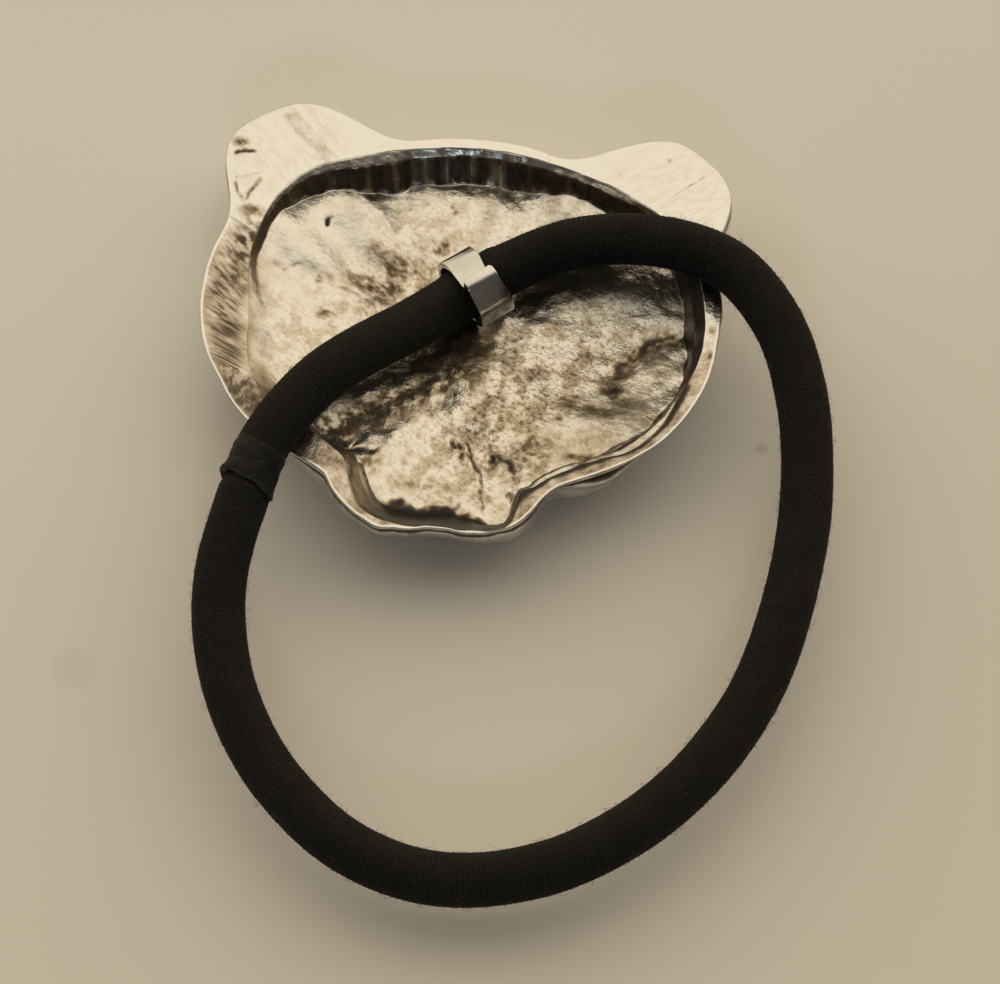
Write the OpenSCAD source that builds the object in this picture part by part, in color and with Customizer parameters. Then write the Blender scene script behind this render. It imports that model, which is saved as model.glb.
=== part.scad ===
// Hair tie: a covered elastic loop, held by a bent metal strip on the hollow back of a cast animal-head charm.
// The charm lies face down on z = 0, with the crown of the head towards +Y. Millimetres.

/* [Charm] */
// Half width of the head's base oval
head_rx = 19.3; // [17:0.1:21]
// Half height of the head's base oval
head_ry = 13.5; // [12.5:0.1:15]
// Height of the rim above the surface that the charm lies on
rim_z = 7; // [6.6:0.1:7]
// Height of the upright band of wall below the rim
band_h = 1.6; // [1:0.1:2]
// Thickness of the flat ears
ear_t = 2.2; // [1.7:0.1:2.6]
// Thickness of the cast wall beside the ears
shell_t = 1.3; // [1.1:0.1:1.5]
// Rounding of the rim's outer and inner edges
rim_round = 0.3; // [0.1:0.05:0.4]
// Half width of the hollow's base oval
hollow_rx = 15.4; // [14:0.1:16]
// Half height of the hollow's base oval
hollow_ry = 14; // [13:0.1:14.5]
// Height of the hollow's floor
floor_z = 2.3; // [2.2:0.05:2.4]
// Height of the domed front's middle above the surface, before its swellings
dome_lift = 1; // [0.9:0.05:1.1]

/* [Clip] */
// Width of the metal strip
clip_w = 3; // [2:0.1:4]
// Thickness of the metal strip
clip_t = 0.45; // [0.3:0.05:0.5]
// Looseness of the strip round the elastic
clip_gap = 0.15; // [0.1:0.05:0.2]
// Sideways drift of the strip over its whole turn
clip_skew = 0.5; // [0:0.1:0.8]

/* [Elastic] */
// Diameter of the covered elastic
cord_d = 3.9; // [3:0.1:4]
// Length of the joining sleeve
splice_len = 3.7; // [3:0.1:3.8]
// Wall of the joining sleeve
splice_wall = 0.25; // [0.2:0.05:0.35]

/* [Hidden] */

// Middle of the head, from which both outlines are drawn.
mid = [0.05, -1.15];

// Lobes that the outlines add to their ovals: direction, rise, spread (degrees), squareness.
EARS = [
    [134, 7.6, 16, 3],
    [46, 8, 16, 3]
];
FACE = [
    [272, 3.5, 27, 4],    // muzzle
    [293, 0.6, 9, 2],     // corners of the muzzle
    [250, 0.45, 10, 6],
    [91, 4.1, 40, 3],     // crown
    [154, 2, 18, 2],      // temples
    [22, 1.9, 14, 2],
    [237, 0.8, 20, 3],    // jowls
    [322, 0.28, 19, 4],
    [212, 0.4, 9, 3]
];
HOLLOW = [
    [272, 2.6, 27, 6],
    [91, 2.5, 76, 3],
    [231, -1.1, 15, 3],
    [16, 2.5, 37, 3],
    [148, 1.7, 24, 3],
    [197, 0.2, 11, 2],
    [335, 1.3, 15, 2]
];

// Steepness that the hollow's wall adds, in the same columns: upright at the crown, sloping at the muzzle.
WALL = [
    [88, 14, 46, 4],
    [155, 5, 30, 3],
    [0, 1, 30, 2],
    [325, 8, 22, 3],
    [240, 4, 14, 2],
    [275, -2.5, 20, 3]
];
wall_least = 6;

// Swellings of the face: x, y, push of the front, dip of the hollow's floor, half widths.
SWELLINGS = [
    [0, -10.5, 1.5, 0.7, 6.5, 4.5],       // muzzle
    [0, -6.5, 0.5, 0, 2.6, 2],            // nose
    [-11, -1.5, 1.4, 0.5, 5, 5],          // cheeks
    [11, -1, 1.5, 0.5, 6, 5],
    [-9.5, 7.5, 1.1, 0.4, 5, 4],          // brows
    [9.5, 7.5, 1.1, 0.3, 5, 4],
    [0, 13, 0.5, 0, 7, 3],                // forehead
    [-15.5, 16, -0.5, 0, 2.6, 2.6],       // dished ears
    [15.5, 15.5, -0.5, 0, 2.6, 2.6]
];

// The elastic's route, from the clip over the right rim, round the loop and back over the left rim. The clip
// carries it, and its shadow in the photo shows that the loop's far end stands clear of the surface.
// Columns: x, y, and the height of its underside. The last row and the first lie either side of the clip.
ROUTE = [
    [3, 6, 3.4],
    [7.5, 7.6, 5.2],
    [12.5, 7.6, 6.9],
    [17, 7, 7.3],
    [20.6, 5.5, 7],
    [24.1, 1.6, 6.2],
    [26.1, -3.3, 5.3],
    [27, -7.5, 4.5],
    [27.4, -13.5, 3.7],
    [26.9, -19.8, 3.3],
    [25.8, -25.6, 3.1],
    [24.3, -29.9, 3],
    [21.9, -34.4, 3],
    [18.9, -38.2, 3],
    [15.5, -41.2, 3],
    [12.1, -43.3, 3],
    [7.2, -44.9, 3],
    [2.2, -45, 3],
    [-2.9, -43.2, 3.1],
    [-7.3, -39.8, 3.3],
    [-10.2, -36.4, 3.6],
    [-12.6, -32, 3.9],
    [-14, -27.2, 4.5],
    [-14.3, -23, 5.2],
    [-13.6, -18.3, 6.2],
    [-12.5, -13.4, 7.1],
    [-9.5, -8.1, 7.4],
    [-6.6, -4.3, 6.2],
    [-3.7, -0.9, 4.7],
    [-1, 2.4, 3.4]
];
splice_row = 24;

cord_r = cord_d / 2;
cord_sides = 12;
sleeve_gap = 0.05;
sleeve_r = cord_r + 0.1;
neck_r = sleeve_r - splice_wall - sleeve_gap;

turns = 120;
band_z = rim_z - band_h;
ring_r = cord_r + clip_gap;
cord_points = [for (p = ROUTE) [p.x, p.y, p.z + cord_r]];
clip_ends = [cord_points[len(ROUTE) - 1], cord_points[0]];
clip_mid = (clip_ends[0] + clip_ends[1]) / 2;
clip_dir = unit(clip_ends[1] - clip_ends[0]);
seat_z = clip_mid.z - ring_r - clip_t - 0.06;

function unit(v) = v / norm(v);
function turn_gap(a, b) = (a - b + 540) % 360 - 180;
function lobes(table, a) = len(table) == 0 ? 0
    : [for (t = table) 1] * [for (t = table) t[1] * exp(-pow(abs(turn_gap(a, t[0])) / t[2], t[3]))];
function oval(rx, ry, a) = 1 / sqrt(pow(cos(a) / rx, 2) + pow(sin(a) / ry, 2));

// Radii of the charm's edge, of its hollow and of its domed front, at the angle a round the middle.
// The dome leaves the ears out, but backs the hollow's wall where that reaches into them.
function face_r(a) = oval(head_rx, head_ry, a) + lobes(FACE, a);
function edge_r(a) = face_r(a) + lobes(EARS, a);
function hollow_r(a) = oval(hollow_rx, hollow_ry, a) + lobes(HOLLOW, a);
function dome_r(a) = max(face_r(a), min(edge_r(a), hollow_r(a) + shell_t));

function polar(r, a) = [mid.x + r * cos(a), mid.y + r * sin(a)];
function swell(p, column) = [for (s = SWELLINGS) 1]
    * [for (s = SWELLINGS) s[column] * exp(-pow((p.x - s[0]) / s[4], 2) - pow((p.y - s[1]) / s[5], 2))];

// The front: a flattened dome over the face, and a flat slab where the ears stand out of it.
// Each of its rings lies at a share f of the dome and a share e of what the ears add.
function dome(f) = band_z * (1 - pow(1 - pow(f, 2.6), 1 / 2.6)) + dome_lift * (1 - f * f);
function ear_reach(a) = edge_r(a) - dome_r(a);
function front_r(f, e, a) = f * dome_r(a) + e * ear_reach(a);
function ear_share(e, a) = e > 0 ? min(1, ear_reach(a) / 2) : 0;
function front_z(f, e, a) =
    let (share = ear_share(e, a))
    max(0, dome(f) * (1 - share) + (rim_z - ear_t) * share - swell(polar(front_r(f, e, a), a), 2));

// Height of the hollow: its floor, the wall that climbs to the rim, and a low seat under the clip.
function wall_rise(r, a) = pow(min(1, r / hollow_r(a)), wall_least + lobes(WALL, a));
function seat_share(p) = exp(-pow(norm([p.x - clip_mid.x, p.y - clip_mid.y]) / 2.8, 4));
function hollow_z(r, a) =
    let (p = polar(r, a), rise = wall_rise(r, a), share = seat_share(p))
    let (z = floor_z - swell(p, 3) * (1 - rise) + (rim_z - rim_round - floor_z) * rise)
    z * (1 - share) + seat_z * share;

function ring(r_of_a, z_of_a) = [for (i = [0:turns - 1]) let (a = i * 360 / turns) [each polar(r_of_a(a), a), z_of_a(a)]];

// Shares at which the hollow, from its middle out, and then the front have their rings.
HOLLOW_STEPS = [0.12, 0.22, 0.32, 0.42, 0.52, 0.62, 0.72, 0.8, 0.86, 0.91, 0.95, 0.98, 1];
FRONT_STEPS = [
    [1, 1], [0.99, 0.75], [0.98, 0.5], [0.97, 0.25], [0.955, 0.04], [0.93, 0], [0.89, 0], [0.84, 0],
    [0.77, 0], [0.69, 0], [0.6, 0], [0.5, 0], [0.4, 0], [0.3, 0], [0.2, 0], [0.1, 0]
];

head_rings = [
    each [for (t = HOLLOW_STEPS) ring(function(a) t * hollow_r(a), function(a) hollow_z(t * hollow_r(a), a))],
    ring(function(a) hollow_r(a) + rim_round, function(a) rim_z),
    ring(function(a) edge_r(a) - rim_round, function(a) rim_z),
    ring(function(a) edge_r(a), function(a) rim_z - rim_round),
    each [for (s = FRONT_STEPS) ring(function(a) front_r(s[0], s[1], a), function(a) front_z(s[0], s[1], a))]
];

// The elastic: one ring of points at each row of the route, and two more where it narrows inside the sleeve.
function along(i, t) = cord_points[i] * (1 - t) + cord_points[i + 1] * t;
splice_span = norm(cord_points[splice_row + 1] - cord_points[splice_row]);
neck_share = (splice_len / 2 + sleeve_gap) / splice_span;
function route_dir(i) =
    let (n = len(cord_points))
    unit(unit(cord_points[(i + 1) % n] - cord_points[i]) + unit(cord_points[i] - cord_points[(i + n - 1) % n]));
function cord_ring(p, dir, r) =
    let (side = unit(cross(dir, [0, 0, 1])), top = cross(side, dir))
    [for (k = [0:cord_sides - 1]) let (a = k * 360 / cord_sides) p + r * (side * cos(a) + top * sin(a))];
splice_dir = unit(cord_points[splice_row + 1] - cord_points[splice_row]);
cord_rings = [
    for (i = [0:len(cord_points) - 1]) each [
        cord_ring(cord_points[i], route_dir(i), cord_r),
        if (i == splice_row) cord_ring(along(i, 0.5 - neck_share), splice_dir, neck_r),
        if (i == splice_row) cord_ring(along(i, 0.5 + neck_share), splice_dir, neck_r)
    ]
];

// The strip starts under its own lap on the near side, passes over the top to the far side and under the
// elastic, and steps out by its own thickness on the way up to its free end.
strip_from = 45;
strip_to = -342;
strip_step = 9;
lap_from = -279;
lap_to = -315;
lap_gap = 0.05;
function ease(t) = let (c = max(0, min(1, t))) c * c * (3 - 2 * c);
function strip_r(s) = ring_r + (clip_t + lap_gap) * ease((lap_from - s) / (lap_from - lap_to));
function strip_half(s) = clip_w / 2 - 0.5 * pow(max(0, 1 - (s - strip_to) / 12), 2);
function strip_ring(s) =
    let (far = cross([0, 0, 1], clip_dir), out = [0, 0, cos(s)] - far * sin(s))
    let (drift = clip_skew * ((strip_from - s) / (strip_from - strip_to) - 0.5), half = strip_half(s))
    [for (c = [[-1, 0], [1, 0], [1, 1], [-1, 1]])
        clip_mid + clip_dir * (drift + c[0] * half) + out * (strip_r(s) + c[1] * clip_t)];
strip_rings = [for (s = [strip_from:-strip_step:strip_to]) strip_ring(s)];

function mean(points) = [for (p = points) 1] * points / len(points);

// A closed surface through rings of equal length: a fan closes each end, or the last ring joins the first.
module skin(rings, joined = false) {
    rows = len(rings);
    n = len(rings[0]);
    points = [for (r = rings) each r, mean(rings[0]), mean(rings[rows - 1])];
    first = rows * n;
    sides = [
        for (j = [0:rows - (joined ? 1 : 2)], k = [0:n - 1])
        let (a = j * n + k, b = j * n + (k + 1) % n, next = ((j + 1) % rows - j) * n)
        each [[a, b, b + next], [a, b + next, a + next]]
    ];
    ends = joined ? [] : [
        for (k = [0:n - 1]) each [
            [first, (k + 1) % n, k],
            [first + 1, (rows - 1) * n + k, (rows - 1) * n + (k + 1) % n]
        ]
    ];
    polyhedron(points = joined ? [for (r = rings) each r] : points, faces = concat(sides, ends), convexity = 8);
}

module cast_head() {
    color("silver") skin(head_rings);
}

module band_clip() {
    color("gainsboro") skin(strip_rings);
}

module elastic_cord() {
    color("#1b1b1d") skin(cord_rings, joined = true);
}

// A short sleeve over the elastic's joined ends.
module splice() {
    middle = along(splice_row, 0.5);
    lean = acos(splice_dir.z);
    turn = atan2(splice_dir.y, splice_dir.x);
    color("#2b2b2e") translate(middle) rotate([0, lean, turn]) difference() {
        cylinder(h = splice_len, r = sleeve_r, center = true, $fn = 48);
        cylinder(h = splice_len + 1, r = neck_r + sleeve_gap, center = true, $fn = 48);
    }
}

cast_head();
band_clip();
elastic_cord();
splice();
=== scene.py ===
"""A hair tie's looks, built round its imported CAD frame: a covered elastic loop, held by a bent metal strip on the
hollow back of a cast animal-head charm. The charm lies face down. Shapes are worked out in millimetres and made in
metres."""

import bpy
import numpy as np
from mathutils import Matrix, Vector


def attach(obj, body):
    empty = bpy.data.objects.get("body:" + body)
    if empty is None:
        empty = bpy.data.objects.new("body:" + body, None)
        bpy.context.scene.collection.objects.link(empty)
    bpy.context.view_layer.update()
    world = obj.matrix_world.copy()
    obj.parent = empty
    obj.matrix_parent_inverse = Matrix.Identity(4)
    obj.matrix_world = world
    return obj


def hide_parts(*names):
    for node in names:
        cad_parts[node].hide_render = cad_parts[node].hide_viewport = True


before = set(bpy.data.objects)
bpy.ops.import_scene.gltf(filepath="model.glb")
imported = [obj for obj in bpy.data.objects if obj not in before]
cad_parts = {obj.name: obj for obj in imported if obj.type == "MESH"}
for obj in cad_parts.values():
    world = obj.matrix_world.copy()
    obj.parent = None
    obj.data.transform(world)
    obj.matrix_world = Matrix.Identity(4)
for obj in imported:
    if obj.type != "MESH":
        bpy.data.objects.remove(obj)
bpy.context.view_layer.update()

MM = 0.001
TAU = 2 * np.pi

# ---------------------------------------------------------------- camera

AIM = Vector((0.0044665, -0.0104627, 0))
EYE = Vector((0.02640, -0.18408, 0.30311))
camera_data = bpy.data.cameras.new("camera")
camera_data.sensor_width = 36
camera_data.lens = 167.6
camera_data.clip_start = 0.01
camera_data.clip_end = 20
camera = bpy.data.objects.new("camera", camera_data)
bpy.context.scene.collection.objects.link(camera)
camera.location = EYE
camera.rotation_euler = (AIM - EYE).to_track_quat("-Z", "Y").to_euler()
bpy.context.scene.camera = camera

# ---------------------------------------------------------------- helpers


def smooth(low, high, x):
    """A smooth step from 0 at low to 1 at high. It falls where low is the greater."""
    t = np.clip((np.asarray(x, float) - low) / (high - low), 0, 1)
    return t * t * (3 - 2 * t)


def hump(x, at, half, power=2):
    """1 at one place and 0 far from it. At half on either side it is 1/e, and a higher power makes it squarer."""
    return np.exp(-(np.abs((x - at) / half) ** power))


def lattice(i, j, k, seed):
    """A number from -1 to 1 for each whole place, always the same one."""
    h = (i * 374761393 + j * 668265263 + k * 1442695041 + seed * 362437) & 0xFFFFFFFF
    h = ((h ^ (h >> 13)) * 1274126177) & 0xFFFFFFFF
    h = ((h ^ (h >> 15)) * 2246822519) & 0xFFFFFFFF
    return ((h ^ (h >> 16)) & 0xFFFFFF) / 8388607.5 - 1


def noise(p, wave, seed=0):
    """Smooth gradient noise, mostly from -1 to 1, with features about wave long. The last axis of p is x, y, z."""
    q = np.asarray(p, float) / wave + 1000
    cell = np.floor(q).astype(np.int64)
    f = q - cell
    fade = f * f * f * (f * (f * 6 - 15) + 10)
    total = 0
    for corner in np.ndindex(2, 2, 2):
        at = cell + corner
        weight = np.prod(np.where(corner, fade, 1 - fade), axis=-1)
        slope = sum(lattice(*np.moveaxis(at, -1, 0), 3 * seed + k) * (f[..., k] - corner[k]) for k in range(3))
        total = total + weight * slope
    return 1.8 * total


def layers(p, wave, seed, count=3, gain=0.55):
    """Noise with count finer layers, each half as wide and gain times as high as the one before."""
    return sum(gain**n * noise(p, wave / 2**n, seed + 17 * n) for n in range(count))


def line_gap(x, y, line):
    """Distance from points to a line of corners, and how far along it the nearest place is, from 0 to 1."""
    best = np.full(np.shape(x), 1e9)
    share = np.zeros(np.shape(x))
    steps = np.array(line, float)
    lengths = np.linalg.norm(np.diff(steps, axis=0), axis=1)
    start = 0
    for a, b, n in zip(steps[:-1], steps[1:], lengths):
        t = np.clip(((x - a[0]) * (b - a)[0] + (y - a[1]) * (b - a)[1]) / n**2, 0, 1)
        d = np.hypot(x - a[0] - t * (b - a)[0], y - a[1] - t * (b - a)[1])
        near = d < best
        best = np.where(near, d, best)
        share = np.where(near, (start + t * n) / lengths.sum(), share)
        start += n
    return best, share


def blob(x, y, cx, cy, wx, wy, power=2):
    """The same as hump round a point, with half widths wx and wy."""
    return np.exp(-(np.hypot((x - cx) / wx, (y - cy) / wy) ** power))


def new_mesh(name, points_mm, faces, uv=None, values=None):
    """An object from points in millimetres; uv is one pair for each face corner, values are named numbers of points."""
    mesh = bpy.data.meshes.new(name)
    mesh.from_pydata((np.asarray(points_mm) * MM).tolist(), [], faces)
    mesh.update()
    if uv is not None:
        layer = mesh.uv_layers.new(name="UVMap")
        layer.data.foreach_set("uv", np.asarray(uv, np.float32).ravel())
    for key, numbers in (values or {}).items():
        flat = np.ndim(numbers) == 1
        attribute = mesh.attributes.new(key, "FLOAT" if flat else "FLOAT_VECTOR", "POINT")
        attribute.data.foreach_set("value" if flat else "vector", np.asarray(numbers, np.float32).ravel())
    mesh.polygons.foreach_set("use_smooth", np.ones(len(mesh.polygons), bool))
    made = bpy.data.objects.new(name, mesh)
    bpy.context.scene.collection.objects.link(made)
    return made


def ring_faces(rows, sides, joined):
    """Quads between rings of equal length. With joined, the last ring meets the first."""
    j, k = np.meshgrid(np.arange(rows if joined else rows - 1), np.arange(sides), indexing="ij")
    j, k = j.ravel(), k.ravel()
    nxt, kn = (j + 1) % rows, (k + 1) % sides
    return np.stack([j * sides + k, j * sides + kn, nxt * sides + kn, nxt * sides + k], 1)


# ---------------------------------------------------------------- elastic

# x, y and height of the underside, as in the part's source.
ROUTE = [
    (3, 6, 3.4), (7.5, 7.6, 5.2), (12.5, 7.6, 6.9), (17, 7, 7.3), (20.6, 5.5, 7), (24.1, 1.6, 6.2), (26.1, -3.3, 5.3),
    (27, -7.5, 4.5), (27.4, -13.5, 3.7), (26.9, -19.8, 3.3), (25.8, -25.6, 3.1), (24.3, -29.9, 3), (21.9, -34.4, 3),
    (18.9, -38.2, 3), (15.5, -41.2, 3), (12.1, -43.3, 3), (7.2, -44.9, 3), (2.2, -45, 3), (-2.9, -43.2, 3.1),
    (-7.3, -39.8, 3.3), (-10.2, -36.4, 3.6), (-12.6, -32, 3.9), (-14, -27.2, 4.5), (-14.3, -23, 5.2),
    (-13.6, -18.3, 6.2), (-12.5, -13.4, 7.1), (-9.5, -8.1, 7.4), (-6.6, -4.3, 6.2), (-3.7, -0.9, 4.7), (-1, 2.4, 3.4),
]
SPLICE_ROW = 24
CORD_R = 1.95
GRIP_R = 1.9
NECK_R = 1.75
GRIP_HALF, NECK_HALF = 1.6, 1.5  # half lengths of the grip in the clip and of the neck under the joint
CORNER_FILL, CORNER_HALF, CORNER_TURN = 0.2, 2.3, np.radians(156)  # swells into the strip's far upper corner

stations = np.array(ROUTE, float) + (0, 0, CORD_R)
clip_ends = stations[-1], stations[0]
clip_mid = (clip_ends[0] + clip_ends[1]) / 2
clip_dir = (clip_ends[1] - clip_ends[0]) / np.linalg.norm(clip_ends[1] - clip_ends[0])
splice_mid = (stations[SPLICE_ROW] + stations[SPLICE_ROW + 1]) / 2
SPAN_STEPS = 60  # fine steps between two route points
ROUTE_SOFT = 1.2


def closed_curve(points, count, soften):
    """A smooth closed curve through the points, softened over a length in millimetres, with even steps."""
    n = len(points)
    fine = []
    for i in range(n):
        p0, p1, p2, p3 = (points[(i + k) % n] for k in (-1, 0, 1, 2))
        t = np.linspace(0, 1, SPAN_STEPS, endpoint=False)[:, None]
        fine.append(
            0.5 * (2 * p1 + (p2 - p0) * t + (2 * p0 - 5 * p1 + 4 * p2 - p3) * t**2 + (3 * p1 - p0 - 3 * p2 + p3) * t**3)
        )
    fine = np.concatenate(fine)

    def even(p, m):
        steps = np.linalg.norm(np.diff(np.vstack([p, p[:1]]), axis=0), axis=1)
        at = np.concatenate([[0], np.cumsum(steps)])
        full = np.vstack([p, p[:1]])
        want = np.linspace(0, at[-1], m, endpoint=False)
        return np.stack([np.interp(want, at, full[:, k]) for k in range(3)], 1), at[-1]

    fine, length = even(fine, count)
    reach = int(3 * soften / (length / count))
    weights = np.exp(-0.5 * (np.arange(-reach, reach + 1) * length / count / soften) ** 2)
    weights /= weights.sum()
    soft = sum(w * np.roll(fine, -k, axis=0) for k, w in zip(range(-reach, reach + 1), weights))
    return even(soft, count)


RIBS, RIB_HEIGHT = 396, 0.05
ROWS_PER_RIB = 4
CORD_ROWS = ROWS_PER_RIB * RIBS
CORD_SIDES = 60
centre, cord_length = closed_curve(stations, CORD_ROWS, ROUTE_SOFT)
start = int(np.argmin(np.linalg.norm(centre - clip_mid, axis=1)))
centre = np.roll(centre, -start, axis=0)  # the seam lies inside the clip
arc = np.arange(CORD_ROWS) * cord_length / CORD_ROWS
splice_at = arc[int(np.argmin(np.linalg.norm(centre - splice_mid, axis=1)))]
ahead = np.roll(centre, -1, axis=0) - np.roll(centre, 1, axis=0)
ahead /= np.linalg.norm(ahead, axis=1)[:, None]
aside = np.cross(ahead, (0, 0, 1))
aside /= np.linalg.norm(aside, axis=1)[:, None]
above = np.cross(aside, ahead)


def on_cord(row, turn, r):
    """Points round the elastic's centreline: row may be a fraction, turn is in radians from the side to the top."""
    row = np.asarray(row, float) % CORD_ROWS
    i = np.floor(row).astype(int)
    t = (row - i)[..., None]

    def pick(a):
        return a[i % CORD_ROWS] * (1 - t) + a[(i + 1) % CORD_ROWS] * t

    out = pick(aside) * np.cos(turn)[..., None] + pick(above) * np.sin(turn)[..., None]
    return pick(centre) + out * np.asarray(r)[..., None], out


def cord_radius(s, turn):
    """The cover's radius, without its ribs: a grip in the clip, a swell beside it, a neck at the joint, soft lumps."""
    gap_clip = np.minimum(s, cord_length - s)
    body = CORD_R - (CORD_R - GRIP_R) * hump(gap_clip, 0, GRIP_HALF, 6) + 0.03 * hump(gap_clip, 2.4, 0.7)
    body = body - (CORD_R - NECK_R) * hump(s, splice_at, NECK_HALF, 8)
    at_corner = np.exp((np.cos(turn - CORNER_TURN) - 1) / 0.04)
    body = body + CORNER_FILL * hump(gap_clip, 0, CORNER_HALF, 8) * at_corner
    q = np.stack([s, CORD_R * np.cos(turn), CORD_R * np.sin(turn)], -1)
    return body + 0.03 * noise(q, 5, 3) + 0.018 * noise(q * (1.4, 1, 1), 0.9, 4)


s_grid, turn_grid = np.meshgrid(arc, np.arange(CORD_SIDES) * TAU / CORD_SIDES, indexing="ij")
rib_phase = s_grid / cord_length * RIBS + 2 * turn_grid / TAU
rib_form = np.abs(np.cos(np.pi * rib_phase)) ** 0.8
radius = cord_radius(s_grid, turn_grid) + RIB_HEIGHT * (rib_form - 0.75)
cord_points, _ = on_cord(np.broadcast_to(np.arange(CORD_ROWS)[:, None], s_grid.shape), turn_grid, radius)
cord_faces = ring_faces(CORD_ROWS, CORD_SIDES, True)
corner_row = np.repeat(np.arange(CORD_ROWS), CORD_SIDES)
corner_side = np.tile(np.arange(CORD_SIDES), CORD_ROWS)
u0, u1 = corner_row / ROWS_PER_RIB, (corner_row + 1) / ROWS_PER_RIB
v0, v1 = corner_side / CORD_SIDES, (corner_side + 1) / CORD_SIDES
cord_uv = np.stack([u0, v0, u0, v1, u1, v1, u1, v0], 1)
elastic = new_mesh("elastic_cover", cord_points.reshape(-1, 3), cord_faces.tolist(), uv=cord_uv)

# Loose fibres that stand out of the cover, some of them looped back.
rng = np.random.default_rng(12)
FIBRES_TRIED = 3600
FIBRE_POINTS = 6
FIBRE_R = 0.013
BARE_BY_CLIP, BARE_BY_JOINT = 2.4, 2.0
ROW_LENGTH = cord_length / CORD_ROWS
f_row = rng.uniform(0, CORD_ROWS, FIBRES_TRIED)
off_clip = np.minimum(f_row, CORD_ROWS - f_row) * ROW_LENGTH > BARE_BY_CLIP
off_joint = np.abs(f_row * ROW_LENGTH - splice_at) > BARE_BY_JOINT
f_row = f_row[off_clip & off_joint]
FIBRES = len(f_row)
f_turn = rng.uniform(0, TAU, FIBRES)
f_reach = 0.08 + 0.42 * rng.random(FIBRES) ** 3
f_along = rng.normal(0, 4.5, FIBRES)
f_round = rng.normal(0, 0.10, FIBRES)
t = np.linspace(0, 1, FIBRE_POINTS)
looped = rng.random(FIBRES) < 0.35
rise = np.where(looped[:, None], np.sin(np.pi * 0.95 * t)[None], (t**0.8)[None]) * f_reach[:, None]
wander = np.cumsum(rng.normal(0, 1.1, (FIBRES, FIBRE_POINTS)), axis=1)
f_rows = f_row[:, None] + f_along[:, None] * t + 0.5 * wander
f_turns = f_turn[:, None] + f_round[:, None] * t + 0.03 * wander[:, ::-1]
f_mid, f_out = on_cord(f_rows, f_turns, CORD_R - 0.03 + rise)
f_step = np.gradient(f_mid, axis=1)
f_step /= np.linalg.norm(f_step, axis=2)[..., None] + 1e-9
f_side = np.cross(f_step, f_out)
f_side /= np.linalg.norm(f_side, axis=2)[..., None] + 1e-9
f_up = np.cross(f_side, f_step)
thick = (FIBRE_R * (1 - 0.4 * t))[None, :, None]
fibre_points = np.stack(
    [f_mid + thick * (np.cos(a) * f_side + np.sin(a) * f_up) for a in (0, TAU / 3, 2 * TAU / 3)], 2
).reshape(-1, 3)
fibre_points[:, 2] = np.maximum(fibre_points[:, 2], 0.01)
one = ring_faces(FIBRE_POINTS, 3, False)
fibre_faces = (one[None] + (np.arange(FIBRES) * FIBRE_POINTS * 3)[:, None, None]).reshape(-1, 4)
fuzz = new_mesh("elastic_fuzz", fibre_points, fibre_faces.tolist())

# The joint: a pressed sleeve with fine crosswise pleats. Its lower end is cut aslant and stands off a little.
JOINT_ROWS, JOINT_SIDES = 110, 96
JOINT_LOW, JOINT_HIGH, JOINT_SKIN = -1.35, 1.9, 0.07
PLEAT_WIDTH, PLEAT_DEPTH = 0.3, 0.035
j_turn = np.broadcast_to(np.arange(JOINT_SIDES) * TAU / JOINT_SIDES, (JOINT_ROWS, JOINT_SIDES))
round_q = np.stack([0 * j_turn, CORD_R * np.cos(j_turn), CORD_R * np.sin(j_turn)], -1)
low_end = JOINT_LOW - 0.48 * np.cos(j_turn) + 0.22 * noise(round_q, 1.1, 24) + 0.08 * noise(round_q, 0.35, 28)
high_end = JOINT_HIGH + 0.14 * noise(round_q, 0.5, 25)
w_grid = low_end + (high_end - low_end) * np.linspace(0, 1, JOINT_ROWS)[:, None]  # along the elastic, upwards
q = round_q + w_grid[..., None] * (1, 0, 0)
tilt = 0.22 * np.cos(j_turn + 0.6) + 0.5 * noise(q, 1.4, 21)
pleats = 1 - np.abs(np.sin((w_grid + tilt) * np.pi / PLEAT_WIDTH)) ** 0.7
flare = smooth(0.75, 0, w_grid - low_end)
outer = (
    CORD_R
    + JOINT_SKIN
    + flare * (0.02 + 0.14 * np.cos(j_turn) ** 2 + 0.07 * noise(round_q, 0.9, 26))
    + 0.12 * hump(w_grid, -0.55, 0.3) * smooth(0.2, 0.9, -np.cos(j_turn))
    - 0.10 * smooth(0.55, 0, high_end - w_grid)
    - PLEAT_DEPTH * pleats * smooth(0.1, 0.7, noise(q, 1.1, 27) + 0.6)
    + 0.06 * noise(q, 0.8, 22)
    + 0.02 * noise(q, 0.25, 23)
)
rows_of = (splice_at + w_grid) / cord_length * CORD_ROWS
outer_points, _ = on_cord(rows_of, j_turn, outer)
inner_points, _ = on_cord(rows_of, j_turn, np.full_like(outer, NECK_R + 0.02))
joint_points = np.concatenate([outer_points, inner_points[::-1]]).reshape(-1, 3)
joint = new_mesh("pressed_joint", joint_points, ring_faces(2 * JOINT_ROWS, JOINT_SIDES, True).tolist())

for piece in (elastic, fuzz, joint):
    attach(piece, "root")
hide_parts("elastic_cord")
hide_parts("splice")

# ---------------------------------------------------------------- charm

MID = np.array([0.05, -1.15])
HEAD_RX, HEAD_RY, RIM_Z, BAND_H, EAR_T, SHELL_T = 19.3, 13.5, 7.0, 1.6, 2.2, 1.3
HOLLOW_RX, HOLLOW_RY, FLOOR_Z, DOME_LIFT = 15.4, 14.0, 2.3, 1.0
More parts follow.
